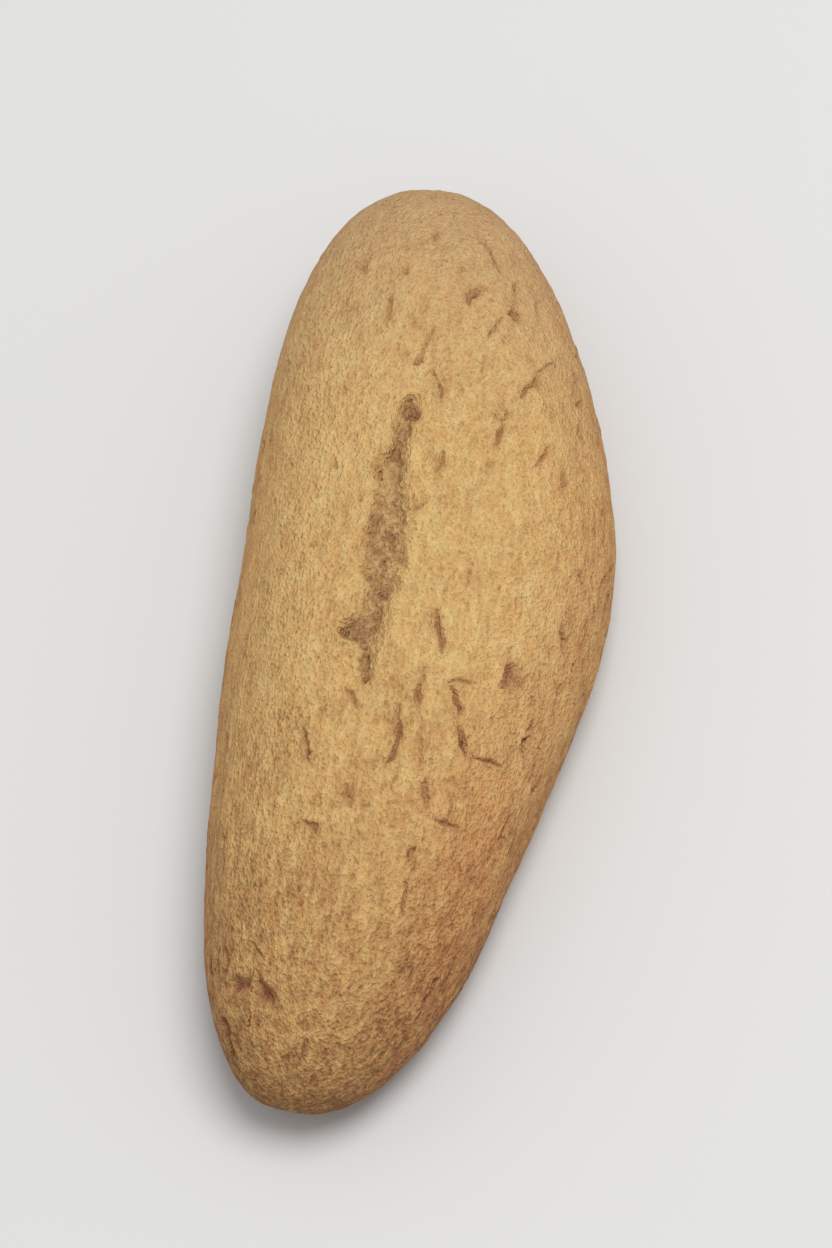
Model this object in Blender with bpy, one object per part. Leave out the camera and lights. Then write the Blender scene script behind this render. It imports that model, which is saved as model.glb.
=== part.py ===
"""A long anise cookie: one bar of short dough, rolled by hand, baked on its flat side and cracked on top.

Units are metres and +Z is up. The bar lies along Y, with its blunt end at +Y and its full side towards
+X. It stands on its flat base, and the origin is below the middle of its box.
"""
import math
import random

import bmesh
import bpy
import numpy as np
from mathutils import Vector, noise
from mathutils.bvhtree import BVHTree

MM = 0.001

# The bar's plan: two half ovals that meet at the widest section, on a midline bowed towards +X.
LENGTH = 137 * MM
BLUNT_HALF = 57 * MM
TAPERED_HALF = LENGTH - BLUNT_HALF
WIDTH = 44.4 * MM
BLUNT_POWER = 2.3
TAPERED_POWER = 2.35
BOW = 4.4 * MM
WIDEST_AT = (TAPERED_HALF - BLUNT_HALF) / 2

# The full flank, where the dough pushed out on one side.
FLANK_SWELL = 4.8 * MM
FLANK_SWELL_AT = 8 * MM
FLANK_SWELL_REACH = 28 * MM

# The bar's height: a dome above the rim, and an edge tucked in below it down to the flat base, whose
# outline is a share of the plan's across and along.
HEIGHT = 30 * MM
RIM_HEIGHT = 9 * MM
DOME_FALL = 2.5
DOME_ROUND = 2.1
BASE_ACROSS = 0.78
BASE_ALONG = 0.90
BASE_CURL = 1.6
FOOT_SHARE = 0.12

# The hand-rolled unevenness: how far it moves the crust, and how wide and long its lumps are.
LUMP = 0.55 * MM
LUMP_WIDE = 13 * MM
LUMP_LONG = 27 * MM

# How finely the bar is faceted, and how finely each section is traced before it is resampled.
STATIONS = 78
HALF_SECTION_POINTS = 21
TRACE = 60

# The cracks are V-shaped: a cutter reaches above the crust, and its depth follows its width.
CRACK_STEP = 1.7 * MM
CRACK_DEPTH_PER_WIDTH = 1.0
CRACK_LEAST_DEPTH = 0.7 * MM
CUTTER_LIFT = 1.2 * MM
CRACK_SEED = 11

# Each crack that shows on the crown: across X, along Y, heading from +Y towards +X in degrees,
# length and width, in millimetres.
CROWN_CRACKS = (
    (10.8, 42.3, 38, 4.2, 1.7),
    (15.9, 40.3, -10, 2.4, 1.6),
    (15.6, 44.8, -4, 4.6, 0.9),
    (14.2, 36.8, 15, 4.2, 0.9),
    (12.3, 49.2, -32, 4.0, 0.9),
    (-4.4, 46.4, 10, 2.8, 1.6),
    (0.0, 37.8, -2, 5.4, 0.8),
    (6.0, 33.2, 14, 5.2, 0.8),
    (8.6, 25.4, -16, 3.2, 1.0),
    (21.0, 33.6, 28, 3.0, 0.8),
    (19.5, 28.6, 14, 4.4, 1.0),
    (17.6, 23.0, 8, 1.8, 0.9),
    (16.6, 19.2, 6, 4.0, 1.1),
    (22.5, 18.0, 24, 4.8, 0.8),
    (9.9, 14.0, 6, 3.6, 0.9),
    (13.1, -11.0, -20, 5.2, 1.0),
    (22.4, -14.3, 42, 3.2, 1.9),
    (16.7, -16.7, 72, 3.6, 0.8),
    (11.5, -19.2, 4, 4.4, 1.0),
    (16.1, -19.7, -22, 3.4, 1.2),
    (17.4, -24.2, -18, 3.8, 1.2),
    (20.7, -25.2, 75, 3.6, 0.9),
    (24.3, -21.0, 2, 3.4, 0.8),
    (9.2, -25.8, 10, 6.6, 1.1),
    (3.2, -20.8, -38, 3.0, 0.8),
    (-1.8, -27.4, -20, 4.6, 0.9),
    (4.3, -34.0, -14, 3.2, 1.0),
    (-0.2, -38.0, -30, 3.0, 1.1),
    (13.6, -32.6, -10, 3.6, 1.0),
    (16.4, -35.3, 86, 2.6, 0.8),
    (12.9, -39.8, 42, 3.0, 0.9),
    (18.3, -40.0, -12, 2.2, 0.9),
    (-7.2, -56.8, -10, 2.8, 1.9),
    (-3.9, -58.4, -30, 3.6, 2.0),
    (-8.9, -61.8, -30, 3.6, 1.6),
)

# The wide tear left of the crown: its middle across X, its place along Y and its width, in millimetres.
TEAR = (
    (5.0, 24.4, 2.0),
    (4.7, 22.4, 4.2),
    (4.6, 19.5, 3.8),
    (4.5, 16.4, 3.4),
    (3.8, 14.0, 5.0),
    (3.7, 10.8, 5.4),
    (4.6, 7.6, 6.6),
    (4.4, 4.0, 7.0),
    (4.6, 0.5, 7.0),
    (5.0, -2.2, 7.2),
    (5.2, -4.6, 5.2),
    (4.4, -8.0, 5.2),
    (3.3, -11.0, 7.2),
    (4.3, -13.4, 4.4),
    (4.5, -16.0, 3.2),
    (4.6, -18.8, 1.4),
)
TEAR_DEPTH = 1.5 * MM
TEAR_WALL = 1.2 * MM
TEAR_ROUGHNESS = 0.35

# The cracks of the flanks, spread by a seeded rule: how far round from the crown in degrees, how far
# along as a share of the length, and how long and wide in millimetres.
FLANK_CRACKS = 20
FLANK_SEED = 210
FLANK_CLOCK = (52, 78)
FLANK_REACH = 0.41
FLANK_LENGTH = (2.5, 5.5)
FLANK_WIDTH = (0.8, 1.2)
FLANK_LEAN = 2.4

CRUST_COLOUR = (0.60, 0.38, 0.155, 1.0)
CRUST_ROUGHNESS = 0.9


def clear_scene():
    """Remove every object that is already there."""
    for old in list(bpy.data.objects):
        bpy.data.objects.remove(old)


def end_of(y):
    """The half length and the outline's power on the side of the widest section that y lies on."""
    if y > WIDEST_AT:
        return BLUNT_HALF, BLUNT_POWER
    return TAPERED_HALF, TAPERED_POWER


def swell(y):
    """How far the full flank stands out at y."""
    return FLANK_SWELL * math.exp(-(((y - FLANK_SWELL_AT) / FLANK_SWELL_REACH) ** 2))


def midline(y):
    """The middle of the section at y: the bow, and half of what the full flank adds on its side."""
    return BOW * (1 - (2 * y / LENGTH) ** 2) + swell(y) / 2


def dome(share):
    """The crust's height where an oval of this share of the plan passes."""
    rise = max(0.0, 1 - share**DOME_FALL) ** (1 / DOME_ROUND)
    return RIM_HEIGHT + (HEIGHT - RIM_HEIGHT) * rise


def underside(offset, along, power):
    """The underside's height at a spot of the plan: flat within the base, then curling up to the rim."""
    share = (offset**power + along**power) ** (1 / power)
    base_share = ((offset / BASE_ACROSS) ** power + (along / BASE_ALONG) ** power) ** (1 / power)
    curl = share * max(0.0, base_share - 1) / (base_share - share)
    return RIM_HEIGHT * (1 - math.sqrt(1 - min(1.0, curl) ** BASE_CURL))


def evenly(trace, count):
    """Points at even steps along a traced line."""
    trace = np.array(trace)
    run = np.concatenate(([0.0], np.cumsum(np.linalg.norm(np.diff(trace, axis=0), axis=1))))
    places = np.linspace(0, run[-1], count)
    return np.stack([np.interp(places, run, column) for column in trace.T], axis=1)


def half_section(y):
    """Half of the section at y as offsets and heights, from the base's edge round to the crown."""
    half_length, power = end_of(y)
    along = abs(y - WIDEST_AT) / half_length
    out = (1 - along**power) ** (1 / power)
    base = BASE_ACROSS * max(0.0, 1 - (along / BASE_ALONG) ** power) ** (1 / power)
    foot = max(base, FOOT_SHARE * out)
    half_width = (WIDTH + swell(y)) / 2

    trace = []
    for step in range(TRACE):
        offset = foot + (out - foot) * math.sin(math.pi / 2 * step / TRACE)
        trace.append((half_width * offset, underside(offset, along, power)))
    for step in range(TRACE + 1):
        offset = out * math.cos(math.pi / 2 * step / TRACE)
        share = (offset**power + along**power) ** (1 / power)
        trace.append((half_width * offset, dome(share)))
    return evenly(trace, HALF_SECTION_POINTS)


def station_places():
    """Where the sections stand along Y: at even steps along the crown from tip to tip."""
    trace = []
    for step in range(-TRACE, TRACE + 1):
        turn = math.sin(math.pi / 2 * step / TRACE)
        half_length = BLUNT_HALF if turn > 0 else TAPERED_HALF
        trace.append((WIDEST_AT + half_length * turn, dome(abs(turn))))
    return evenly(trace, STATIONS + 2)[1:-1, 0]


def with_lumps(spot):
    """A point of the smooth bar, moved in or out from the spine by the dough's unevenness."""
    spine = Vector((midline(spot.y), spot.y, RIM_HEIGHT))
    outward = (spot - spine).normalized()
    grain = Vector((spot.x / LUMP_WIDE, spot.y / LUMP_LONG, spot.z / LUMP_WIDE))
    off_base = min(1.0, spot.z / RIM_HEIGHT)
    return spot + outward * LUMP * off_base * noise.noise(grain)


def bar_mesh():
    """The uncracked bar: sections skinned along its length, closed by a point at each tip."""
    bm = bmesh.new()
    rings = []
    for y in station_places():
        middle = midline(y)
        half = half_section(y)
        left = [Vector((middle - offset, y, height)) for offset, height in half]
        right = [Vector((middle + offset, y, height)) for offset, height in half[-2::-1]]
        rings.append([bm.verts.new(with_lumps(spot)) for spot in left + right])

    count = len(rings[0])
    for ring, following in zip(rings, rings[1:]):
        for place in range(count):
            beside = (place + 1) % count
            bm.faces.new((ring[place], ring[beside], following[beside], following[place]))

    for ring, y in ((rings[0], -LENGTH / 2), (rings[-1], LENGTH / 2)):
        tip = bm.verts.new((midline(y), y, RIM_HEIGHT))
        for place in range(count):
            bm.faces.new((ring[place], ring[(place + 1) % count], tip))

    bmesh.ops.recalc_face_normals(bm, faces=bm.faces)
    return bm


def on_crown(crust, x, y):
    """The spot of the crust under a plumb line, and its normal."""
    spot, normal, _, _ = crust.ray_cast(Vector((x, y, 2 * HEIGHT)), Vector((0, 0, -1)))
    return spot, normal


def on_flank(crust, y, clock):
    """The spot of the crust at y that lies this many degrees round from the crown, and its normal."""
    outward = Vector((math.sin(clock), 0, math.cos(clock)))
    spine = Vector((midline(y), y, RIM_HEIGHT))
    spot, normal, _, _ = crust.ray_cast(spine + outward * WIDTH, -outward)
    return spot, normal


def add_channel(bm, rings):
    """A closed cutter skinned over rings of points that run along a crack."""
    loops = [[bm.verts.new(spot) for spot in ring] for ring in rings]
    count = len(loops[0])
    for loop, following in zip(loops, loops[1:]):
        for place in range(count):
            beside = (place + 1) % count
            bm.faces.new((loop[place], loop[beside], following[beside], following[place]))
    bm.faces.new(loops[0])
    bm.faces.new(loops[-1])


def crack_rings(path, width, dice):
    """V-shaped rings along a crack: path holds its spots and normals, and the width tapers to its ends."""
    rings = []
    for place, (spot, normal) in enumerate(path):
        ahead = path[min(place + 1, len(path) - 1)][0] - path[max(place - 1, 0)][0]
        side = normal.cross(ahead).normalized()
        taper = math.sin(math.pi * (place + 0.5) / len(path))
        gape = width * taper * dice.uniform(0.8, 1.25)
        depth = max(CRACK_LEAST_DEPTH * (0.5 + 0.5 * taper), CRACK_DEPTH_PER_WIDTH * gape)
        reach = gape / 2 * (1 + CUTTER_LIFT / depth)
        above = spot + normal * CUTTER_LIFT
        rings.append((above - side * reach, above + side * reach, spot - normal * depth))
    return rings


def crown_crack(crust, crack, dice):
    """The cutter's rings for one crack of the crown, with a little wander across its heading."""
    x, y, heading, length, width = crack
    turn = math.radians(heading)
    way = Vector((math.sin(turn), math.cos(turn), 0))
    across = Vector((way.y, -way.x, 0))
    count = max(3, round(length * MM / CRACK_STEP) + 1)
    path = []
    for place in range(count):
        run = (place / (count - 1) - 0.5) * length * MM
        wander = dice.uniform(-0.3, 0.3) * width * MM
        spot = Vector((x * MM, y * MM, 0)) + way * run + across * wander
        path.append(on_crown(crust, spot.x, spot.y))
    return crack_rings(path, width * MM, dice)


def flank_places():
    """The flank cracks by the seeded rule: along, round in degrees, length, width and lean in degrees."""
    dice = random.Random(FLANK_SEED)
    places = []
    for turn in range(FLANK_CRACKS):
        along = dice.uniform(-FLANK_REACH, FLANK_REACH)
        clock = (1 - 2 * (turn % 2)) * dice.uniform(*FLANK_CLOCK)
        length = dice.uniform(*FLANK_LENGTH)
        width = dice.uniform(*FLANK_WIDTH)
        places.append((along, clock, length, width, dice.uniform(-FLANK_LEAN, FLANK_LEAN)))
    return places


def flank_crack(crust, place, dice):
    """The cutter's rings for one crack of a flank."""
    along, clock, length, width, lean = place
    count = max(3, round(length * MM / CRACK_STEP) + 1)
    path = []
    for step in range(count):
        run = step / (count - 1) - 0.5
        y = along * LENGTH + run * length * MM
        path.append(on_flank(crust, y, math.radians(clock + lean * run)))
    return crack_rings(path, width * MM, dice)


def tear_rings(crust, dice):
    """Rings of the wide tear: steep walls, and a rough floor of torn dough between them."""
    rings = []
    for x, y, width in TEAR:
        spot, normal = on_crown(crust, x * MM, y * MM)
        side = normal.cross(Vector((0, 1, 0))).normalized()
        half = width * MM / 2
        wall = min(TEAR_WALL, 0.6 * half)
        above = spot + normal * CUTTER_LIFT
        lip = half + wall * CUTTER_LIFT / TEAR_DEPTH
        ring = [above - side * lip, above + side * lip]
        for share in (1, 0.35, -0.35, -1):
            depth = TEAR_DEPTH * dice.uniform(1 - TEAR_ROUGHNESS, 1 + TEAR_ROUGHNESS)
            ring.append(spot + side * share * (half - wall) - normal * depth)
        rings.append(ring)
    return rings


def cutter(name, channels):
    """A guide object that holds the channels of some cracks, kept out of the finished cookie."""
    bm = bmesh.new()
    for rings in channels:
        add_channel(bm, rings)
    bmesh.ops.recalc_face_normals(bm, faces=bm.faces)
    mesh = bpy.data.meshes.new(name)
    bm.to_mesh(mesh)
    bm.free()
    guide = bpy.data.objects.new(name, mesh)
    guide.hide_render = True
    guide.display_type = "WIRE"
    bpy.context.scene.collection.objects.link(guide)
    return guide


def cut_with(cookie, guide):
    """Cut the guide's channels out of the cookie."""
    boolean = cookie.modifiers.new(guide.name, "BOOLEAN")
    boolean.operation = "DIFFERENCE"
    boolean.solver = "MANIFOLD"
    boolean.object = guide


def crust_material():
    """Plain baked dough: matt, pale tan."""
    material = bpy.data.materials.new("baked_crust")
    material.use_nodes = True
    shader = material.node_tree.nodes["Principled BSDF"]
    shader.inputs["Base Color"].default_value = CRUST_COLOUR
    shader.inputs["Roughness"].default_value = CRUST_ROUGHNESS
    shader.inputs["Metallic"].default_value = 0.0
    return material


def make_cookie():
    """Model the bar, centre it over the origin, and cut its tear and its cracks."""
    bm = bar_mesh()
    across = [vert.co.x for vert in bm.verts]
    centre = Vector(((min(across) + max(across)) / 2, 0, 0))
    crust = BVHTree.FromBMesh(bm)
    mesh = bpy.data.meshes.new("anise_cookie")
    bm.to_mesh(mesh)
    bm.free()
    mesh.shade_smooth()
    mesh.set_sharp_from_angle(angle=math.radians(50))
    cookie = bpy.data.objects.new("anise_cookie", mesh)
    cookie.data.materials.append(crust_material())
    cookie.location = -centre
    bpy.context.scene.collection.objects.link(cookie)

    dice = random.Random(CRACK_SEED)
    cracks = [crown_crack(crust, crack, dice) for crack in CROWN_CRACKS]
    cracks += [flank_crack(crust, place, dice) for place in flank_places()]
    for guide in (cutter("tear_cutter", [tear_rings(crust, dice)]), cutter("crack_cutter", cracks)):
        guide.location = -centre
        cut_with(cookie, guide)


clear_scene()
make_cookie()
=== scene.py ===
"""A long anise cookie on a pale table: its cracked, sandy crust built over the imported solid."""
import math
import random

import bmesh
import bpy
import numpy as np
from mathutils import Matrix, Vector, noise


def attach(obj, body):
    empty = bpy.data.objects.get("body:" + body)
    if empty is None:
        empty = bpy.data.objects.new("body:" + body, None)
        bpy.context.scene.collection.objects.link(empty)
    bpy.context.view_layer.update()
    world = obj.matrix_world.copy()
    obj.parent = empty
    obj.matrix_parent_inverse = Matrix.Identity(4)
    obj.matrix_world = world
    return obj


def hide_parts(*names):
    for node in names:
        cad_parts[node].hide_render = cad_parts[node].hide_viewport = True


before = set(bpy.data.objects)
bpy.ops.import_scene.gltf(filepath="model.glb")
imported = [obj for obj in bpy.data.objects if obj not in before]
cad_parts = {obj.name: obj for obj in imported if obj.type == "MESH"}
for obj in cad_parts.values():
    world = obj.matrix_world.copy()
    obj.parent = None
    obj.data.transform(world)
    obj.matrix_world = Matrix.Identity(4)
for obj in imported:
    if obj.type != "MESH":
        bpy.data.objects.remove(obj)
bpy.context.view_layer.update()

# ---------------------------------------------------------------------------------------------
# The cookie. One bar of short dough, rolled between the palms and baked on its flat side: it spread
# to a flat base, domed, and its drying skin tore and cracked as it rose.
# ---------------------------------------------------------------------------------------------

MM = 0.001

# The bar's plan: two half ovals that meet at the widest section, on a midline bowed towards +X.
LENGTH = 137 * MM
BLUNT_HALF = 57 * MM
TAPERED_HALF = LENGTH - BLUNT_HALF
WIDTH = 44.4 * MM
BLUNT_POWER = 2.3
TAPERED_POWER = 2.35
BOW = 4.4 * MM
WIDEST_AT = (TAPERED_HALF - BLUNT_HALF) / 2
FLANK_SWELL = 4.8 * MM
FLANK_SWELL_AT = 8 * MM
FLANK_SWELL_REACH = 28 * MM

# Its height: a dome above the rim, and an edge tucked in below it down to the flat base, whose
# outline is a share of the plan's across and along.
HEIGHT = 30 * MM
RIM_HEIGHT = 9 * MM
DOME_FALL = 2.5
DOME_ROUND = 2.1
BASE_ACROSS = 0.78
BASE_ALONG = 0.90
BASE_CURL = 1.6
FOOT_SHARE = 0.12

# The skin's mesh: sections along the bar, points down half of each, columns across the base, and
# the steps that trace a quarter turn of a section, and the whole crown, before points are spread.
STATIONS = 282
HALF_POINTS = 86
BASE_COLUMNS = 20
TRACE = 80
CROWN_TRACE = 320


def hump(away, reach):
    """1 at no distance, falling smoothly to nothing two or three reaches away."""
    return np.exp(-((away / reach) ** 2))


def ramp(value, start, end):
    """0 up to start, rising evenly to 1 at end."""
    return np.clip((value - start) / (end - start), 0, 1)


def swell(y):
    """How far the full flank stands out at y."""
    return FLANK_SWELL * hump(y - FLANK_SWELL_AT, FLANK_SWELL_REACH)


def midline(y):
    """The middle of the section at y."""
    return BOW * (1 - (2 * y / LENGTH) ** 2) + swell(y) / 2


def dome(share):
    """The crust's height where an oval of this share of the plan passes."""
    rise = np.maximum(0.0, 1 - share**DOME_FALL) ** (1 / DOME_ROUND)
    return RIM_HEIGHT + (HEIGHT - RIM_HEIGHT) * rise


def underside(offset, along, power):
    """The underside's height at spots of the plan: flat within the base, then curling up to the rim."""
    share = (offset**power + along**power) ** (1 / power)
    base_share = ((offset / BASE_ACROSS) ** power + (along / BASE_ALONG) ** power) ** (1 / power)
    curl = share * np.maximum(0.0, base_share - 1) / (base_share - share)
    return RIM_HEIGHT * (1 - np.sqrt(1 - np.minimum(1.0, curl) ** BASE_CURL))


def run_along(trace):
    """The length run at each point of a traced line."""
    return np.concatenate(([0.0], np.cumsum(np.linalg.norm(np.diff(trace, axis=0), axis=1))))


def evenly(trace, count):
    """Points at even steps along a traced line."""
    run = run_along(trace)
    places = np.linspace(0, run[-1], count)
    return np.stack([np.interp(places, run, column) for column in trace.T], axis=1)


def half_section(y):
    """Half of the section at y as offsets and heights, from the base's edge round to the crown."""
    blunt = y > WIDEST_AT
    half_length = BLUNT_HALF if blunt else TAPERED_HALF
    power = BLUNT_POWER if blunt else TAPERED_POWER
    along = abs(y - WIDEST_AT) / half_length
    out = (1 - along**power) ** (1 / power)
    base = BASE_ACROSS * max(0.0, 1 - (along / BASE_ALONG) ** power) ** (1 / power)
    foot = max(base, FOOT_SHARE * out)
    turn = np.linspace(0, np.pi / 2, TRACE)
    under = foot + (out - foot) * np.sin(turn)
    over = out * np.cos(turn[1:])
    share_over = (over**power + along**power) ** (1 / power)
    heights = np.concatenate([underside(under, along, power), dome(share_over)])
    offsets = (WIDTH + swell(y)) / 2 * np.concatenate([under, over])
    return evenly(np.stack([offsets, heights], axis=1), HALF_POINTS)


# Sections at even steps along the crown, from the tapered tip to the blunt one.
turns = np.sin(np.linspace(-np.pi / 2, np.pi / 2, CROWN_TRACE))
crown_y = WIDEST_AT + np.where(turns > 0, BLUNT_HALF, TAPERED_HALF) * turns
crown_trace = np.stack([crown_y, dome(abs(turns))], axis=1)
station_y = evenly(crown_trace, STATIONS + 2)[1:-1, 0]
crown_length = run_along(crown_trace)[-1]
station_run = np.linspace(0, crown_length, STATIONS + 2)[1:-1]

# Each ring goes from the base's left edge over the crown to its right edge and back along the base.
# The skin's own measures go with it: how far round from the crown, and how far along from the tip.
# The clock gives where a spot of a half lies, in degrees from the crown.
spots = []
around = []
along_run = []
round_runs = []
for y, run in zip(station_y, station_run):
    half = half_section(y)
    from_crown = run_along(half[::-1])[::-1]
    clock = np.degrees(np.arctan2(half[:, 0], half[:, 1] - RIM_HEIGHT))
    round_runs.append((half[::-1, 0], from_crown[::-1], clock[::-1]))
    middle = midline(y)
    base = np.linspace(half[0, 0], -half[0, 0], BASE_COLUMNS + 2)[1:-1]
    offsets = np.concatenate([-half[:, 0], half[-2::-1, 0], base])
    heights = np.concatenate([half[:, 1], half[-2::-1, 1], np.full(BASE_COLUMNS, half[0, 1])])
    beyond = from_crown[0] + half[0, 0] - abs(base)
    spots.append(np.stack([middle + offsets, np.full(len(offsets), y), heights], axis=1))
    around.append(np.concatenate([-from_crown, from_crown[-2::-1], beyond]))
    along_run.append(np.full(len(offsets), run))

count = len(spots[0])
spots = np.concatenate(spots + [[(midline(-LENGTH / 2), -LENGTH / 2, RIM_HEIGHT)]])
spots = np.concatenate([spots, [(midline(LENGTH / 2), LENGTH / 2, RIM_HEIGHT)]])
around = np.concatenate(around + [[0.0, 0.0]])
along_run = np.concatenate(along_run + [[0.0, crown_length]])
shift = (spots[:, 0].min() + spots[:, 0].max()) / 2

ring = np.arange(count)
beside = (ring + 1) % count
neighbours = list(zip(ring.tolist(), beside.tolist()))
faces = []
for station in range(STATIONS - 1):
    here = station * count
    there = here + count
    faces += np.stack([here + ring, there + ring, there + beside, here + beside], axis=1).tolist()
near_tip = STATIONS * count
far_tip = near_tip + 1
last = (STATIONS - 1) * count
faces += [(place, after, near_tip) for place, after in neighbours]
faces += [(last + after, last + place, far_tip) for place, after in neighbours]

# The hand-rolled unevenness moves the skin in or out from the spine.
LUMP = 0.55 * MM
LUMP_WIDE = 13 * MM
LUMP_LONG = 27 * MM
LEAST_REACH = 1e-9


def grain(where, wide, long, seed=0.0):
    """Smooth noise between -1 and 1 at each spot, with grains this wide across and this long along Y."""
    scaled = where / np.array([wide, long, wide]) + seed
    return np.array([noise.noise(spot) for spot in scaled.tolist()])


spine = np.stack([midline(spots[:, 1]), spots[:, 1], np.full(len(spots), RIM_HEIGHT)], axis=1)
outward = spots - spine
reach = np.linalg.norm(outward, axis=1, keepdims=True)
outward = outward / np.maximum(reach, LEAST_REACH)
off_base = ramp(spots[:, 2], 0, RIM_HEIGHT)
spots = spots + outward * (LUMP * off_base * grain(spots, LUMP_WIDE, LUMP_LONG))[:, None]

# The cracks that show on the crown: across X, along Y, heading from +Y towards +X in degrees, then
# length, width and depth, in millimetres.
CROWN_CRACKS = (
    (10.8, 42.3, 38, 3.8, 1.5, 0.80),
    (15.9, 40.4, -10, 2.2, 1.5, 0.80),
    (15.6, 44.6, -4, 4.8, 0.6, 0.40),
    (14.2, 37.0, 15, 4.2, 0.6, 0.45),
    (12.3, 49.2, -32, 3.8, 0.7, 0.45),
    (11.1, 51.8, -25, 2.4, 0.6, 0.35),
    (4.0, 52.2, 20, 1.4, 1.3, 0.45),
    (-4.4, 46.4, 10, 2.6, 1.7, 0.50),
    (-1.4, 44.8, 0, 1.2, 0.9, 0.30),
    (0.8, 44.8, 0, 1.2, 0.9, 0.30),
    (-4.8, 38.6, 0, 1.8, 1.8, 0.25),
    (9.8, 53.2, 0, 1.2, 0.9, 0.30),
    (0.0, 37.8, -2, 5.4, 0.5, 0.35),
    (6.0, 33.2, 14, 4.8, 0.5, 0.40),
    (4.9, 30.0, 30, 1.8, 1.0, 0.65),
    (7.5, 27.8, -28, 2.0, 0.7, 0.45),
    (8.6, 25.4, -16, 2.8, 0.7, 0.60),
    (20.8, 33.4, 28, 3.4, 0.5, 0.35),
    (19.5, 28.8, 14, 5.6, 0.8, 0.60),
    (17.4, 22.6, 8, 1.8, 0.7, 0.45),
    (15.8, 22.4, 0, 1.2, 0.6, 0.30),
    (16.7, 19.6, 6, 4.2, 0.8, 0.65),
    (22.4, 18.0, 20, 4.8, 0.6, 0.50),
    (9.9, 14.0, 6, 3.4, 0.7, 0.50),
    (8.2, 7.4, 34, 3.4, 0.6, 0.40),
    (15.8, -1.6, 0, 3.0, 0.4, 0.20),
    (12.9, -10.5, -19, 5.8, 0.9, 0.70),
    (22.4, -14.3, 42, 2.8, 2.2, 0.80),
    (21.6, -15.4, 40, 1.6, 0.8, 0.50),
    (16.6, -16.7, 72, 3.6, 0.6, 0.50),
    (12.0, -16.8, 6, 1.8, 0.6, 0.35),
    (11.4, -19.5, 4, 3.4, 0.9, 0.65),
    (16.0, -19.4, -20, 3.8, 1.2, 0.80),
    (17.3, -24.4, -9, 3.6, 1.1, 0.80),
    (20.5, -25.4, 73, 3.6, 0.7, 0.55),
    (24.4, -21.0, 4, 3.2, 1.1, 0.95),
    (9.2, -22.2, -4, 2.2, 0.7, 0.50),
    (9.5, -25.1, 4, 3.2, 0.9, 0.70),
    (8.8, -28.0, 14, 2.8, 1.0, 0.70),
    (3.2, -20.8, -38, 3.2, 0.6, 0.45),
    (-1.8, -27.4, -20, 4.4, 0.8, 0.60),
    (4.3, -34.0, -14, 3.0, 1.0, 0.50),
    (0.0, -38.3, -24, 2.0, 1.2, 0.70),
    (13.6, -32.2, -10, 3.7, 0.9, 0.65),
    (16.8, -32.0, 4, 2.0, 0.5, 0.30),
    (16.4, -35.3, 86, 2.6, 0.7, 0.50),
    (12.6, -40.2, 22, 2.6, 0.8, 0.50),
    (18.3, -40.0, -12, 1.8, 0.9, 0.40),
    (-5.3, -53.4, -42, 3.4, 0.5, 0.35),
    (-7.2, -56.8, -10, 2.6, 2.3, 0.80),
    (-3.9, -58.4, -30, 3.4, 2.1, 0.90),
    (-5.7, -61.2, 0, 2.6, 0.6, 0.40),
    (-9.3, -61.2, -30, 2.6, 2.0, 1.10),
    (-8.2, -63.0, -34, 3.0, 1.0, 0.70),
    (12.4, -25.9, -3, 6.6, 0.5, 0.30),
    (12.3, -45.4, 0, 4.0, 0.6, 0.45),
    (21.7, -4.3, 0, 1.6, 0.7, 0.30),
    (8.5, 46.2, 0, 1.4, 0.6, 0.25),
    (-4.0, 13.5, 0, 1.6, 0.8, 0.30),
    (-4.3, 24.8, 0, 1.2, 0.8, 0.25),
)

# The cracks of the flanks, spread by a seeded rule: how far round from the crown in degrees, how far
# along as a share of the length, and how long and wide in millimetres.
CRACK_SEED = 23
FLANK_CRACKS = 20
FLANK_SEED = 210
FLANK_CLOCK = (52, 78)
FLANK_REACH = 0.41
FLANK_LENGTH = (2.5, 5.5)
FLANK_WIDTH = (0.8, 1.2)
FLANK_LEAN = 2.4
FLANK_DEPTH_SHARE = 0.7

# Between them the crust is split more finely: rows of short dashes on the flanks, and small pits
# below the crown. Where they lie is given round from the crown in millimetres, and along as a share
# of the crown's length.
SPLIT_SEED = 7
SPLIT_ROWS = 34
ROW_ROUND = (23, 38)
ROW_ALONG = (0.1, 0.86)
DASHES = (1, 3)
DASH_LENGTH = (1.0, 4.6)
DASH_GAP = (0.2, 2.2)
DASH_WIDTH = (0.35, 0.85)
DASH_LEAN = 16
DASH_STRAY = 0.9
PITS = 70
PIT_ROUND = (14, 38)
PIT_ALONG = (0.03, 0.97)
PIT_SIZE = (0.35, 0.7)
PIT_LENGTH_SHARE = 1.5
PIT_DEPTH_SHARE = 0.5

# A crack is a chain of links: how long each is, how far its knots stray as a share of the width, how
# wide its tips are as a share of its middle, and how much its width varies.
LINK = 1.1 * MM
STRAY = 0.22
TIP_SHARE = 0.3
WIDTH_VARIES = (0.75, 1.2)


def section_at(y):
    """The section nearest to y: its offsets, runs from the crown and clocks, from the crown down."""
    return round_runs[int(np.argmin(abs(station_y - y)))]


def on_skin(x, y):
    """A spot of the plan in the skin's own measures: round from the crown, and along from the tip."""
    offsets, runs, _ = section_at(y)
    over = slice(0, int(np.argmax(offsets)) + 1)
    offset = x - midline(y)
    round_at = math.copysign(np.interp(abs(offset), offsets[over], runs[over]), offset)
    return np.array([round_at, np.interp(y, station_y, station_run)])


def on_flank(y, clock):
    """The same measures for a spot at y that lies this many degrees round from the crown."""
    _, runs, clocks = section_at(y)
    round_at = math.copysign(np.interp(abs(clock), clocks, runs), clock)
    return np.array([round_at, np.interp(y, station_y, station_run)])


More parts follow.
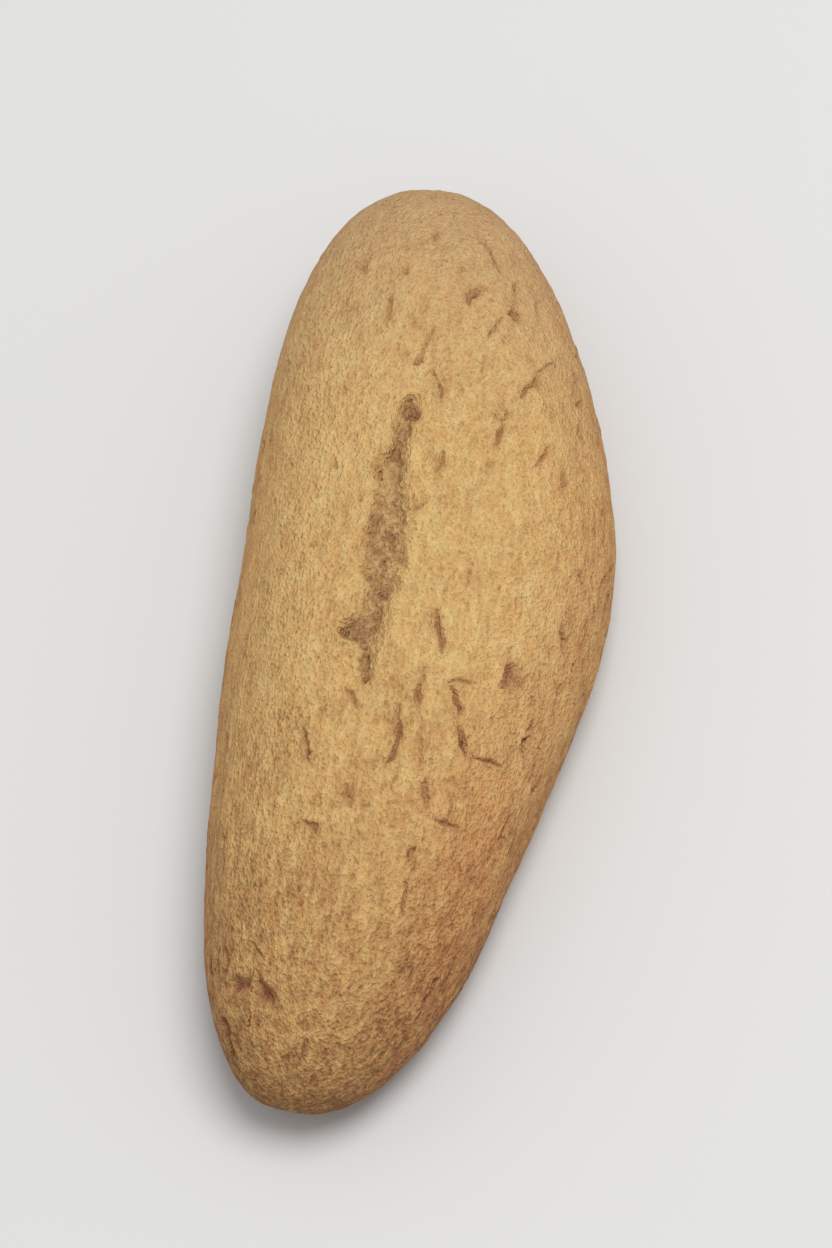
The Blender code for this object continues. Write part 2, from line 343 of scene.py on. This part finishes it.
def ragged(start, end, width, depth, dice):
    """A crack as links: each has its two ends, its half widths there and its depth."""
    run = end - start
    length = np.linalg.norm(run)
    across = np.array([run[1], -run[0]]) / length
    count = max(2, round(length / LINK))
    knots = []
    halves = []
    for place in range(count + 1):
        share = place / count
        knots.append(start + run * share + across * dice.gauss(0, STRAY) * width)
        taper = TIP_SHARE + (1 - TIP_SHARE) * math.sin(math.pi * share)
        halves.append(width / 2 * taper * dice.uniform(*WIDTH_VARIES))
    return [(*knots[at : at + 2], *halves[at : at + 2], depth, width) for at in range(count)]


def reaching(heading, length):
    """Half of a crack as a step: heading from along the bar towards +X, in degrees."""
    return length / 2 * np.array([math.sin(math.radians(heading)), math.cos(math.radians(heading))])


links = []
crack_dice = random.Random(CRACK_SEED)
for x, y, heading, length, width, depth in CROWN_CRACKS:
    middle = np.array([x, y])
    half = reaching(heading, length)
    ends = on_skin(*(middle - half) * MM), on_skin(*(middle + half) * MM)
    links += ragged(*ends, width * MM, depth * MM, crack_dice)

flank_dice = random.Random(FLANK_SEED)
for turn in range(FLANK_CRACKS):
    along = flank_dice.uniform(-FLANK_REACH, FLANK_REACH) * LENGTH
    clock = (1 - 2 * (turn % 2)) * flank_dice.uniform(*FLANK_CLOCK)
    half = flank_dice.uniform(*FLANK_LENGTH) / 2 * MM
    width = flank_dice.uniform(*FLANK_WIDTH) * MM
    lean = flank_dice.uniform(-FLANK_LEAN, FLANK_LEAN) / 2
    ends = on_flank(along - half, clock - lean), on_flank(along + half, clock + lean)
    links += ragged(*ends, width, FLANK_DEPTH_SHARE * width, crack_dice)

dice = random.Random(SPLIT_SEED)
for row in range(SPLIT_ROWS):
    side = 1 - 2 * (row % 2)
    round_at = side * dice.uniform(*ROW_ROUND) * MM
    run_at = dice.uniform(*ROW_ALONG) * crown_length
    lean = dice.gauss(0, DASH_LEAN)
    for dash in range(dice.randint(*DASHES)):
        length = dice.uniform(*DASH_LENGTH) * MM
        width = dice.uniform(*DASH_WIDTH) * MM
        middle = np.array([round_at, run_at])
        half = reaching(dice.gauss(lean, DASH_LEAN), length)
        links += ragged(middle - half, middle + half, width, width, dice)
        step = length + dice.uniform(*DASH_GAP) * MM
        run_at += step
        round_at += step * math.tan(math.radians(lean)) + dice.gauss(0, DASH_STRAY) * MM

for pit in range(PITS):
    side = 1 - 2 * (pit % 2)
    round_at = side * dice.uniform(*PIT_ROUND) * MM
    middle = np.array([round_at, dice.uniform(*PIT_ALONG) * crown_length])
    width = dice.uniform(*PIT_SIZE) * MM
    half = reaching(dice.gauss(0, DASH_LEAN), PIT_LENGTH_SHARE * width)
    links += ragged(middle - half, middle + half, width, PIT_DEPTH_SHARE * width, dice)

# The wide tear left of the crown: its middle across X, its place along Y and its width, then the
# deeper pits in its floor, with their lengths, widths and depths, in millimetres.
TEAR = (
    (5.0, 24.4, 2.0),
    (4.7, 22.4, 4.2),
    (4.6, 19.5, 3.8),
    (4.5, 16.4, 3.4),
    (3.8, 14.0, 5.0),
    (3.7, 10.8, 5.4),
    (4.4, 7.6, 6.6),
    (4.3, 4.0, 7.0),
    (4.3, 0.5, 7.0),
    (4.8, -2.2, 7.2),
    (5.2, -4.6, 5.2),
    (4.2, -8.0, 5.2),
    (3.3, -11.0, 7.2),
    (4.3, -13.4, 4.4),
    (4.5, -16.0, 3.2),
    (4.6, -18.8, 1.4),
)
TEAR_PITS = (
    (5.0, 21.6, 2.8, 1.9, 0.90),
    (4.9, 18.8, 3.6, 1.2, 0.70),
    (4.3, 14.8, 2.0, 1.0, 0.35),
    (2.3, 12.8, 2.6, 0.9, 0.50),
    (4.0, 11.2, 2.2, 1.0, 0.40),
    (5.2, 1.8, 3.4, 1.0, 0.35),
    (4.6, -1.8, 2.6, 0.9, 0.50),
    (4.9, -5.6, 2.2, 1.4, 0.80),
    (5.1, -9.2, 2.2, 0.8, 0.40),
    (1.0, -11.4, 1.8, 1.4, 0.50),
    (4.4, -15.4, 2.4, 1.1, 0.50),
)

# The tear's floor lies this deep, its walls slope over these widths, and its edge runs in and out by
# tatters, a coarse and a fine one: each has its share, its width and length in millimetres, and the
# offset that gives it its own noise. Past its ends it counts as this much narrower than nothing, so
# that no tatter opens it there.
TEAR_DEPTH = 1.3 * MM
LEFT_WALL = 1.5 * MM
RIGHT_WALL = 2.6 * MM
TEAR_RAGGED = 0.55 * MM
TATTERS = ((1.0, 1.9, 2.3, 6.1), (0.6, 0.8, 0.8, 8.3))
BEYOND_TEAR = -10 * MM

# A crack's cut is rounder than a V and a little deeper than its row says. It browns the crust beside
# it, fading over its reach and ending at its margin.
CRACK_DEEPER = 1.1
CRACK_ROUND = 0.55
BROWNING_REACH = 0.42 * MM
BROWNING_MARGIN = 1.2 * MM

tear_middle, tear_run = np.array([on_skin(x * MM, y * MM) for x, y, width in TEAR][::-1]).T
tear_half = np.array([width * MM / 2 for x, y, width in TEAR][::-1])
for x, y, length, width, depth in TEAR_PITS:
    middle = on_skin(x * MM, y * MM)
    half = reaching(0, length * MM)
    links += ragged(middle - half, middle + half, width * MM, depth * MM, crack_dice)

# The edges of cracks wander as torn dough does, at a coarse, a middle and a fine step: how far and
# over what length, in millimetres. The offsets give each direction its own noise.
WANDER = ((0.28, 2.6), (0.17, 0.8), (0.07, 0.35))
WANDER_ROUND = 71.6
WANDER_ALONG = 90.4


def wandered(where, round_at, run_at):
    """The skin's measures at each spot, shaken so that straight cracks come out ragged."""
    for sway, step in WANDER:
        round_at = round_at + sway * MM * grain(where, step * MM, step * MM, WANDER_ROUND)
        run_at = run_at + sway * MM * grain(where, step * MM, step * MM, WANDER_ALONG)
    return round_at, run_at


def carve(round_at, run_at, tatter):
    """At each spot, how deep cracks cut, its share of tear floor, its gap to a cut, and its browning."""
    cut = np.zeros(len(round_at))
    browning = np.zeros(len(round_at))
    gap = np.ones(len(round_at))
    order = np.argsort(run_at)
    sorted_run = run_at[order]
    for start, end, start_half, end_half, depth, width in links:
        margin = width + BROWNING_MARGIN
        low = np.searchsorted(sorted_run, min(start[1], end[1]) - margin)
        high = np.searchsorted(sorted_run, max(start[1], end[1]) + margin)
        near = order[low:high]
        near = near[abs(round_at[near] - (start[0] + end[0]) / 2) < abs(end[0] - start[0]) / 2 + margin]
        way = end - start
        offset = np.stack([round_at[near], run_at[near]], axis=1) - start
        share = np.clip(offset @ way / (way @ way), 0, 1)
        away = np.linalg.norm(offset - share[:, None] * way, axis=1)
        half = start_half + (end_half - start_half) * share
        inside = np.clip(1 - away / half, 0, 1)
        deepest = CRACK_DEEPER * depth * np.sqrt(2 * half / width)
        cut[near] = np.maximum(cut[near], deepest * inside**CRACK_ROUND)
        gap[near] = np.minimum(gap[near], away - half)
        fade = hump(np.maximum(away - half, 0), BROWNING_REACH)
        browning[near] = np.maximum(browning[near], depth / MM * fade)

    middle = np.interp(run_at, tear_run, tear_middle)
    half = np.interp(run_at, tear_run, tear_half, left=BEYOND_TEAR, right=BEYOND_TEAR)
    within = half - abs(round_at - middle) + TEAR_RAGGED * tatter
    wall = np.clip(within / np.where(round_at > middle, RIGHT_WALL, LEFT_WALL), 0, 1)
    floor = wall * wall * (3 - 2 * wall)
    return cut, floor, np.minimum(gap, -within), browning


def tattered(where):
    """How far the tear's edge runs out or in at each spot, as a share of its raggedness."""
    return sum(share * grain(where, wide * MM, long * MM, seed) for share, wide, long, seed in TATTERS)


def granules(where, size, seed):
    """Rounded grains of about this size: 1 on a grain's top, down to -1 in the creases between."""
    scaled = where / size + seed
    return np.array([1 - 2 * min(1.0, noise.voronoi(Vector(spot))[0][0]) for spot in scaled.tolist()])


def read_floats(mesh, name):
    """A named measure of the mesh's points as an array."""
    values = np.zeros(len(mesh.vertices))
    mesh.attributes[name].data.foreach_get("value", values)
    return values


def read_vectors(mesh, name):
    """A vector of each of the mesh's points, such as its place or its normal."""
    values = np.zeros(len(mesh.vertices) * 3)
    mesh.vertices.foreach_get(name, values)
    return values.reshape(-1, 3)


def write_floats(mesh, name, values):
    """Store a measure on the mesh's points under a name."""
    attribute = mesh.attributes.get(name) or mesh.attributes.new(name, "FLOAT", "POINT")
    attribute.data.foreach_set("value", values.astype(np.float32))


skin = bpy.data.meshes.new("cookie_crust")
skin.from_pydata((spots - np.array([shift, 0, 0])).tolist(), [], faces)
write_floats(skin, "round_at", around)
write_floats(skin, "run_at", along_run)

# The mesh is made finer only near a crack, a pit or the tear: once within the first of these
# distances from a cut, and once more within the second.
FINE_BANDS = (0.35 * MM, 0.10 * MM)
for band in FINE_BANDS:
    where = read_vectors(skin, "co") + np.array([shift, 0, 0])
    measures = wandered(where, read_floats(skin, "round_at"), read_floats(skin, "run_at"))
    near_cut = carve(*measures, tattered(where))[2] < band
    bm = bmesh.new()
    bm.from_mesh(skin)
    edges = [edge for edge in bm.edges if near_cut[edge.verts[0].index] or near_cut[edge.verts[1].index]]
    bmesh.ops.subdivide_edges(bm, edges=edges, cuts=1, use_grid_fill=True)
    bmesh.ops.recalc_face_normals(bm, faces=bm.faces)
    bm.to_mesh(skin)
    bm.free()
skin.shade_smooth()

# The crust's relief, in or out along its normal: soft waves, small pillows and long wrinkles, each
# with its height, width and length. It dies out just above the base.
WAVE = 0.20 * MM
WAVE_WIDE = 3.8 * MM
WAVE_LONG = 11.0 * MM
PILLOW = 0.09 * MM
PILLOW_WIDE = 1.3 * MM
PILLOW_LONG = 2.6 * MM
WRINKLE = 0.10 * MM
WRINKLE_WIDE = 1.7 * MM
WRINKLE_LONG = 5.0 * MM
WRINKLE_SHARP = 5
CALM_HEIGHT = 2 * MM

# Cuts have raised lips, and the tear's floor is crumbs: lumps with coarse and fine granules on them.
LIP = 0.09 * MM
LIP_REACH = 0.45 * MM
CRUMB = 0.48 * MM
CRUMB_WIDE = 1.6 * MM
CRUMB_LONG = 2.4 * MM
COARSE_GRANULE = 1.0 * MM
COARSE_SHARE = 0.55
FINE_GRANULE = 0.45 * MM
FINE_SHARE = 0.3

points = read_vectors(skin, "co")
normals = read_vectors(skin, "normal")
where = points + np.array([shift, 0, 0])
round_at, run_at = wandered(where, read_floats(skin, "round_at"), read_floats(skin, "run_at"))
cut, floor, gap, browning = carve(round_at, run_at, tattered(where))

wave = grain(where, WAVE_WIDE, WAVE_LONG, seed=3.1)
pillow = grain(where, PILLOW_WIDE, PILLOW_LONG, seed=1.3)
wrinkle = 1 - np.minimum(1, abs(grain(where, WRINKLE_WIDE, WRINKLE_LONG, seed=7.7)) * WRINKLE_SHARP)
torn = floor > 0
coarse = granules(where[torn], COARSE_GRANULE, seed=2.4)
fine = granules(where[torn], FINE_GRANULE, seed=5.1)
crumb = grain(where, CRUMB_WIDE, CRUMB_LONG, seed=9.2)
crumb[torn] += COARSE_SHARE * coarse + FINE_SHARE * fine
lip = hump(gap, LIP_REACH) * (gap > 0)
off_base = ramp(where[:, 2], 0, CALM_HEIGHT)
rise = WAVE * wave + PILLOW * pillow - WRINKLE * wrinkle + LIP * lip
rise = rise - cut - floor * (TEAR_DEPTH - CRUMB * crumb)
points = points + normals * (rise * off_base)[:, None]
points[:, 2] = np.maximum(points[:, 2], 0)
skin.vertices.foreach_set("co", points.ravel())
skin.update()

# What the colours follow of the relief: how dark a cut is, partly a browner crust and partly painted
# shade that deepens with the cut and is less in the tear's floor; the browned crust beside it; the
# floor with its crumbs; and the hollows in wrinkles and between pillows, painted shade there and
# painted paler on the pillows' tops.
FULL_SHADE_DEPTH = 0.80 * MM
FLOOR_SPARED = 0.35
BESIDE_CUT = 0.45
CRUMB_LEVEL = 0.5
CRUMB_CONTRAST = 0.8
HOLLOW_LEVEL = 0.25
WRINKLE_CONTRAST = 0.5
PILLOW_CONTRAST = 0.5
# Cuts are painted darker the deeper they go: painted shade on top of their browner crust.
crack_brown_and_shade = np.clip(cut / FULL_SHADE_DEPTH, 0, 1) * (1 - FLOOR_SPARED * floor)
write_floats(skin, "cut", np.maximum(crack_brown_and_shade, BESIDE_CUT * browning * (floor < 0.5)))
write_floats(skin, "torn", floor)
write_floats(skin, "crumb", np.clip(CRUMB_LEVEL + CRUMB_CONTRAST * crumb, 0, 1))
# Painted shade in the hollows of wrinkles, painted paler on the pillows' tops.
hollow_shade = WRINKLE_CONTRAST * wrinkle + HOLLOW_LEVEL - PILLOW_CONTRAST * pillow
write_floats(skin, "hollow_shade", np.clip(hollow_shade, 0, 1))

# How brown each spot has baked: the ends and the lower edge more than the crown, in soft patches.
# Places along the bar are shares of its half length, from -1 at the tapered tip to 1 at the blunt one.
# The powers keep the browning near the tip and the base.
CROWN_BROWN = 0.22
TAPERED_BROWN = 0.39
TAPERED_FROM = 0.05
TAPERED_BROWN_POWER = 1.1
BLUNT_BROWN = 0.10
BLUNT_FROM = 0.30
BLUNT_FULL = 0.90
LOW_BROWN = 0.42
LOW_BROWN_POWER = 1.3
LOW_BELOW = 22 * MM
PATCH_BROWN = 0.10
PATCH_WIDE = 8 * MM
PATCH_LONG = 13 * MM
share_along = 2 * where[:, 1] / LENGTH
near_end = ramp(-share_along, TAPERED_FROM, 1.0)
far_end = ramp(share_along, BLUNT_FROM, BLUNT_FULL)
low = 1 - ramp(where[:, 2], 0, LOW_BELOW)
patch = grain(where, PATCH_WIDE, PATCH_LONG, seed=5.5)
brown = CROWN_BROWN + TAPERED_BROWN * near_end**TAPERED_BROWN_POWER + BLUNT_BROWN * far_end
brown = brown + LOW_BROWN * low**LOW_BROWN_POWER + PATCH_BROWN * patch
write_floats(skin, "brown", np.clip(brown, 0, 1))

# The blunt end is a duller tan than the rest. Both sides are a little ruddier than the crown, partly a
# baked flush and partly painted warm reflected light, and a strip of the full flank more so, towards
# the tapered end and above the lower edge, where the flush also carries painted shade.
SIDE_FROM = 12 * MM
SIDE_FULL = 28 * MM
SIDE_FLUSH_AND_WARM_LIGHT = 0.50
STRIP_ROUND = 22 * MM
STRIP_REACH = 9 * MM
STRIP_FULL = 0.5
STRIP_LOW_LOSS = 0.7
write_floats(skin, "dull", far_end)
# Painted warm reflected light on both sides and painted shade in the strip, over a baked flush.
on_side = ramp(abs(round_at), SIDE_FROM, SIDE_FULL)
shaded_strip = hump(round_at - STRIP_ROUND, STRIP_REACH) * ramp(-share_along, 0, STRIP_FULL) ** 2
write_floats(skin, "flush_and_shade", np.maximum(shaded_strip * (1 - STRIP_LOW_LOSS * low), SIDE_FLUSH_AND_WARM_LIGHT * on_side))

# Baked short dough: matt, pale tan where it rose, browner where it caught, grained like fine sand.
# The shades run from the least baked to the most, with how baked each is.
BAKED_SHADES = (
    (0.00, (0.705, 0.502, 0.212, 1)),
    (0.32, (0.608, 0.401, 0.156, 1)),
    (0.72, (0.424, 0.231, 0.088, 1)),
    (1.00, (0.240, 0.122, 0.051, 1)),
)
DULL_TAN = (0.505, 0.338, 0.190, 1)
# The tear's floor is darker than the crust and browner between its crumbs and in its pits: partly its
# own torn colour, partly painted shade.
FLOOR_TAN = (0.560, 0.345, 0.150, 1)
FLOOR_BROWN_AND_SHADE = (0.286, 0.146, 0.064, 1)
FLOOR_PIT_SHADE = (0.262, 0.122, 0.062, 1)
CRACK_BROWN = (0.372, 0.163, 0.082, 1)
# The deepest cuts' colour: their browner crust with painted shade on it.
CRACK_DEEP = (0.232, 0.091, 0.051, 1)
RUDDY = (1.0, 0.89, 0.855, 1)
# The flush tint: partly a baked flush, partly painted shade and painted warm reflected light.
FLUSH_AND_SHADE_TINT = (1.0, 0.81, 0.80, 1)
CRUST_ROUGHNESS = 0.92
CRUST_SPECULAR = 0.2
PEBBLE_SOFTNESS = 0.35

# A mix node's colour sockets share their names with its other sockets, so they go by their places.
FIRST_COLOUR = 6
SECOND_COLOUR = 7
MIXED_COLOUR = 2

crust = bpy.data.materials.new("baked_crust")
crust.use_nodes = True
nodes = crust.node_tree.nodes
wires = crust.node_tree.links
shader = nodes["Principled BSDF"]
shader.inputs["Roughness"].default_value = CRUST_ROUGHNESS
shader.inputs["Specular IOR Level"].default_value = CRUST_SPECULAR
position = nodes.new("ShaderNodeTexCoord").outputs["Object"]


def measure(name):
    """A node that reads one of the skin's stored measures."""
    node = nodes.new("ShaderNodeAttribute")
    node.attribute_name = name
    return node.outputs["Fac"]


def speckle(wide, long, detail, shake=0.0):
    """A noise node whose grains are this wide across and this long along the bar, in millimetres."""
    scale = nodes.new("ShaderNodeMapping")
    scale.inputs["Scale"].default_value = (1 / (wide * MM), 1 / (long * MM), 1 / (wide * MM))
    wires.new(position, scale.inputs["Vector"])
    node = nodes.new("ShaderNodeTexNoise")
    node.inputs["Scale"].default_value = 1.0
    node.inputs["Detail"].default_value = detail
    node.inputs["Distortion"].default_value = shake
    wires.new(scale.outputs["Vector"], node.inputs["Vector"])
    return node.outputs["Fac"]


def pebbles(size):
    """How far each spot is from the middle of its own rounded crumb, of this size in millimetres."""
    node = nodes.new("ShaderNodeTexVoronoi")
    node.feature = "SMOOTH_F1"
    node.inputs["Scale"].default_value = 1 / (size * MM)
    node.inputs["Smoothness"].default_value = PEBBLE_SOFTNESS
    wires.new(position, node.inputs["Vector"])
    return node.outputs["Distance"]


def spread(value, low, high, least=0.0, most=1.0):
    """A value's span from low to high, mapped onto least to most."""
    node = nodes.new("ShaderNodeMapRange")
    node.inputs["From Min"].default_value = low
    node.inputs["From Max"].default_value = high
    node.inputs["To Min"].default_value = least
    node.inputs["To Max"].default_value = most
    wires.new(value, node.inputs["Value"])
    return node.outputs["Result"]


def centred(value, low, high):
    """A value's span from low to high, mapped onto -0.5 to 0.5."""
    return spread(value, low, high, -0.5, 0.5)


def feed(socket, value):
    """Wire a value into a socket, or set it there where it is a plain number or colour."""
    if isinstance(value, bpy.types.NodeSocket):
        wires.new(value, socket)
    else:
        socket.default_value = value


def combined(operation, first, second):
    """Two values joined by a sum or a product."""
    node = nodes.new("ShaderNodeMath")
    node.operation = operation
    feed(node.inputs[0], first)
    feed(node.inputs[1], second)
    return node.outputs["Value"]


def plus(first, second):
    """The sum of two values."""
    return combined("ADD", first, second)


def times(value, share):
    """A value times a share, which is a number or a value itself."""
    return combined("MULTIPLY", value, share)


def blended(share, first, second, way="MIX"):
    """Two colours, each a socket or a plain colour, mixed by a share."""
    node = nodes.new("ShaderNodeMix")
    node.data_type = "RGBA"
    node.blend_type = way
    feed(node.inputs["Factor"], share)
    feed(node.inputs[FIRST_COLOUR], first)
    feed(node.inputs[SECOND_COLOUR], second)
    return node.outputs[MIXED_COLOUR]


# The crust's grains, from fine sand to blotches: the width and length of each in millimetres, its
# detail and its shake, and the span of the noise that is kept.
browned = measure("brown")
sand = centred(speckle(0.30, 0.38, 1.0), 0.30, 0.70)
fleck = spread(speckle(0.42, 1.15, 1.0), 0.62, 0.72)
pebble = centred(speckle(0.55, 0.80, 2.0), 0.32, 0.68)
crumble = spread(pebbles(0.55), 0.15, 0.75, 0.5, -0.5)
streak = centred(speckle(0.55, 1.5, 1.0), 0.30, 0.70)
fold = centred(speckle(0.95, 3.4, 2.0, 0.3), 0.32, 0.68)
blush = spread(speckle(1.5, 3.2, 3.0, 0.3), 0.34, 0.66)
blotch = centred(speckle(2.2, 8.0, 1.0, 0.2), 0.32, 0.68)

# How much each adds to the bake, or takes from it where it stands proud. Of two numbers, the first
# is for pale crust and the second for brown, or for raised crust and for hollows. Beyond the crust's
# own tone this paints light on its relief: sand, pebbles and crumbs that the bump raises are painted
# paler, a painted highlight, and the sunken streaks and the hollows darker, painted shade.
STREAK_TONE_AND_SHADE = 0.20
STREAK_GAIN = (1.0, 1.5)
SAND_TONE_AND_HIGHLIGHT = -0.20
CRUMBLE_TONE_AND_HIGHLIGHT = -0.10
BLOTCH_BAKE = 0.16
HOLLOW_SHADE = (-0.05, 0.16)
FLECK_BAKE = (0.14, 0.30)
PALE = 0.2
BROWN = 0.8
# The grains' tone, with a painted highlight where the bump raises them and painted shade in sunken
# streaks and hollows.
grained = plus(times(streak, STREAK_TONE_AND_SHADE), times(fold, STREAK_TONE_AND_SHADE))
bake_and_shade = plus(browned, times(grained, spread(browned, PALE, BROWN, *STREAK_GAIN)))
bake_and_shade = plus(bake_and_shade, times(plus(sand, pebble), SAND_TONE_AND_HIGHLIGHT))
bake_and_shade = plus(bake_and_shade, times(crumble, CRUMBLE_TONE_AND_HIGHLIGHT))
bake_and_shade = plus(bake_and_shade, times(blotch, BLOTCH_BAKE))
bake_and_shade = plus(bake_and_shade, spread(measure("hollow_shade"), 0, 1, *HOLLOW_SHADE))
bake_and_shade = plus(bake_and_shade, times(fleck, spread(browned, PALE, BROWN, *FLECK_BAKE)))
shades = nodes.new("ShaderNodeValToRGB")
stops = shades.color_ramp.elements
while len(stops) < len(BAKED_SHADES):
    stops.new(1.0)
for stop, (level, shade) in zip(stops, BAKED_SHADES):
    stop.position = level
    stop.color = shade
wires.new(bake_and_shade, shades.inputs["Fac"])

# The dull end and the flush, which carries painted shade and painted warm reflected light, then the
# tear's floor, tan on its crumbs and brown between them, partly its own colour and partly painted
# shade, and the cuts, darker the deeper they go, a browner crust with painted shade on it. Sand and
# pebbles break up the edges of both. The spans say where each colour sets in and where it is full.
DULL_SHARE = 0.55
FLOOR_SHARE = 0.85
CUT_SHARE = 0.92
EDGE_SAND = 0.5
CUT_SAND = (0.75, 1.15)
FLOOR_SPAN = (0.1, 0.9)
CRUMB_SPAN = (0.05, 0.95)
DEEP_SPAN = (0.55, 1.05)
colour = blended(times(measure("dull"), DULL_SHARE), shades.outputs["Color"], DULL_TAN)
colour = blended(blush, colour, RUDDY, "MULTIPLY")
colour = blended(measure("flush_and_shade"), colour, FLUSH_AND_SHADE_TINT, "MULTIPLY")
tear_share = spread(plus(measure("torn"), times(sand, EDGE_SAND)), *FLOOR_SPAN)
ridged = plus(measure("crumb"), times(pebble, EDGE_SAND))
floor_colour = blended(spread(ridged, *CRUMB_SPAN), FLOOR_BROWN_AND_SHADE, FLOOR_TAN)
colour = blended(times(tear_share, FLOOR_SHARE), colour, floor_colour)
cut_brown_and_shade = times(measure("cut"), spread(sand, -0.5, 0.5, *CUT_SAND))
cut_colour = blended(spread(cut_brown_and_shade, *DEEP_SPAN), CRACK_BROWN, CRACK_DEEP)
cut_colour = blended(tear_share, cut_colour, FLOOR_PIT_SHADE)
colour = blended(times(cut_brown_and_shade, CUT_SHARE), colour, cut_colour)
wires.new(colour, shader.inputs["Base Color"])

# The sand of the crust is finer than the mesh: a grain of about a third of a millimetre.
GRAIN_HEIGHT = 0.16 * MM
STREAK_HEIGHT = -0.4
bump = nodes.new("ShaderNodeBump")
bump.inputs["Strength"].default_value = 1.0
bump.inputs["Distance"].default_value = GRAIN_HEIGHT
grains = plus(sand, pebble)
height = plus(grains, plus(crumble, times(streak, STREAK_HEIGHT)))
wires.new(height, bump.inputs["Height"])
wires.new(bump.outputs["Normal"], shader.inputs["Normal"])

cookie = bpy.data.objects.new("cookie_crust", skin)
bpy.context.scene.collection.objects.link(cookie)
skin.materials.append(crust)
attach(cookie, "root")
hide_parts("anise_cookie")

# ---------------------------------------------------------------------------------------------
# The table. One plain sheet of matt, pale grey card, laid flat under the cookie and wide enough to
# fill the view from any side.
# ---------------------------------------------------------------------------------------------

TABLE_SIZE = 12.0
TABLE_GREY = (0.66, 0.66, 0.655, 1)
TABLE_ROUGHNESS = 0.9

card = bpy.data.materials.new("pale_card")
card.use_nodes = True
card_shader = card.node_tree.nodes["Principled BSDF"]
card_shader.inputs["Base Color"].default_value = TABLE_GREY
card_shader.inputs["Roughness"].default_value = TABLE_ROUGHNESS
bpy.ops.mesh.primitive_plane_add(size=TABLE_SIZE, location=(0, 0, 0))
table = bpy.context.object
table.name = "table"
table.data.materials.append(card)

# ---------------------------------------------------------------------------------------------
# The studio light. An even, nearly white room, and one broad soft box, high and a little to the
# right, which gives the gentle fall of shade.
# ---------------------------------------------------------------------------------------------

ROOM_WHITE = (1.0, 0.995, 0.985, 1)
ROOM_STRENGTH = 0.58
world = bpy.data.worlds.new("studio")
world.use_nodes = True
room = world.node_tree.nodes["Background"]
room.inputs["Color"].default_value = ROOM_WHITE
room.inputs["Strength"].default_value = ROOM_STRENGTH
bpy.context.scene.world = world

SOFT_BOX_PLACE = Vector((0.25, 0.05, 1.0))
SOFT_BOX_SIZE = 0.6
SOFT_BOX_WATTS = 7.0
soft_box = bpy.data.objects.new("soft_box", bpy.data.lights.new("soft_box", "AREA"))
soft_box.data.shape = "DISK"
soft_box.data.size = SOFT_BOX_SIZE
soft_box.data.energy = SOFT_BOX_WATTS
soft_box.location = SOFT_BOX_PLACE
soft_box.rotation_euler = (-SOFT_BOX_PLACE).to_track_quat("-Z", "Y").to_euler()
soft_box.visible_camera = False
bpy.context.scene.collection.objects.link(soft_box)
bpy.context.scene.view_settings.view_transform = "Standard"

# ---------------------------------------------------------------------------------------------
# The camera. It looks down from where the photograph was taken, above the tapered end and to its
# right, through a longer lens, turned on its axis until the bar leans as it does there.
# ---------------------------------------------------------------------------------------------

CAMERA_AZIMUTH = math.radians(18.1)
CAMERA_ELEVATION = math.radians(58.8)
CAMERA_DISTANCE = 0.638
CAMERA_TURN = math.radians(-12.4)
CAMERA_LENS = 141.0
NEAREST_SEEN = 0.01
AIM = Vector((0.0, 0.0, 0.012))

level = math.cos(CAMERA_ELEVATION)
sideways = math.sin(CAMERA_AZIMUTH) * level
towards_tip = -math.cos(CAMERA_AZIMUTH) * level
backward = Vector((sideways, towards_tip, math.sin(CAMERA_ELEVATION)))
camera = bpy.data.objects.new("camera", bpy.data.cameras.new("camera"))
camera.data.lens = CAMERA_LENS
camera.data.clip_start = NEAREST_SEEN
camera.location = AIM + backward * CAMERA_DISTANCE
aimed = (-backward).to_track_quat("-Z", "Y").to_matrix().to_4x4()
camera.rotation_euler = (aimed @ Matrix.Rotation(CAMERA_TURN, 4, "Z")).to_euler()
bpy.context.scene.collection.objects.link(camera)
bpy.context.scene.camera = camera
